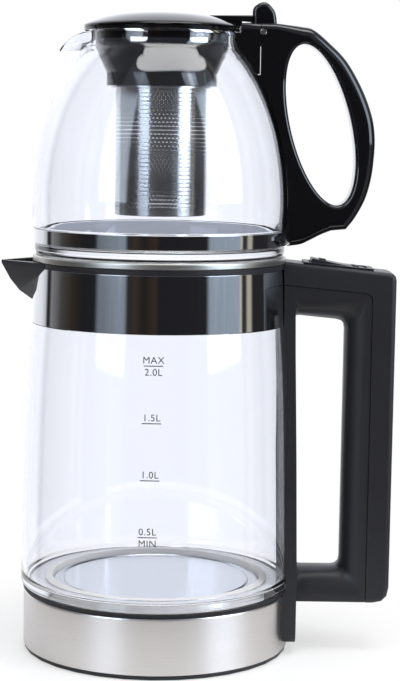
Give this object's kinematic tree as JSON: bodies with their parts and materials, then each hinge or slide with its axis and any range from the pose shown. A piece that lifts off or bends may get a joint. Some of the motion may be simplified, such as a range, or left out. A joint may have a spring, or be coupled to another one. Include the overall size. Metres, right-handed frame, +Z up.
{
  "type": "tea maker",
  "caption": "Electric glass kettle with a glass teapot seated on its rim, black plastic handles, a hinged lid, a rocker switch and a drop-in tea infuser.",
  "frame": {"origin": "on the vessels' common vertical axis, at the plane the kettle stands on; the tip of the connector's centre pin is 1 mm above it", "axes": "+Z up along the vessels' axis, +X towards both handles, -X towards both spouts, -Y towards the side that carries the level marks"},
  "size_m": [0.2196, 0.153, 0.3615],
  "materials": {
    "brushed_steel": "brushed round the axis",
    "polished_steel": "polished",
    "satin_steel": "satin",
    "aluminium": "as cast",
    "brass": "satin",
    "clear_glass": "clear",
    "satin_black": "satin",
    "gloss_black": "gloss",
    "black_rubber": "matt",
    "pale_silicone": "satin",
    "grey_plastic": "matt"
  },
  "bodies": {
    "kettle": {"base_shell": "brushed_steel", "bottom_cover": "satin_black", "base_chassis": "grey_plastic", "connector_housing": "satin_black", "connector_pin": "brass", "connector_ring": "brass", "control_unit": "grey_plastic", "heater_plate": "satin_steel", "heat_spreader": "aluminium", "heating_element": "satin_steel", "cover_screw_1": "satin_steel", "cover_screw_2": "satin_steel", "cover_screw_3": "satin_steel", "base_seal": "black_rubber", "plate_seal": "pale_silicone", "kettle_glass": "clear_glass", "glass_gasket": "black_rubber", "rim_collar": "satin_black", "upper_band": "polished_steel", "seat_ring": "polished_steel", "handle_frame": "satin_black", "handle_cover": "satin_black", "leg_screw": "satin_steel", "rim_screw": "satin_steel", "switch_bezel": "satin_black", "micro_switch": "grey_plastic"},
    "rocker": {"switch_rocker": "satin_black"},
    "teapot": {"pot_glass": "clear_glass", "pot_band": "polished_steel", "neck_clip": "polished_steel", "hinge_block": "gloss_black", "pot_handle": "gloss_black", "hinge_pin": "satin_steel"},
    "lid": {"lid_shell": "gloss_black", "lid_rim": "gloss_black", "lid_liner": "gloss_black", "lid_lever": "gloss_black"},
    "infuser": {"infuser_collar": "gloss_black", "infuser_tube": "satin_steel", "infuser_base": "satin_steel"}
  },
  "joints": [
    {"name": "teapot_lift", "type": "slide", "parent": "kettle", "child": "teapot", "axis": [0, 0, 1], "range_m": [0, 0.12]},
    {"name": "lid_hinge", "type": "hinge", "parent": "teapot", "child": "lid", "pos_m": [0.0555, 0, 0.34523], "axis": [0, 1, 0], "range_deg": [0, 80]},
    {"name": "infuser_turn", "type": "hinge", "parent": "teapot", "child": "infuser", "pos_m": [0, 0, 0.3], "axis": [0, 0, 1], "continuous": true},
    {"name": "switch_rocker_tilt", "type": "hinge", "parent": "kettle", "child": "rocker", "pos_m": [0.0994, 0, 0.21525], "axis": [0, 1, 0], "range_deg": [-10.4, 0]}
  ]
}
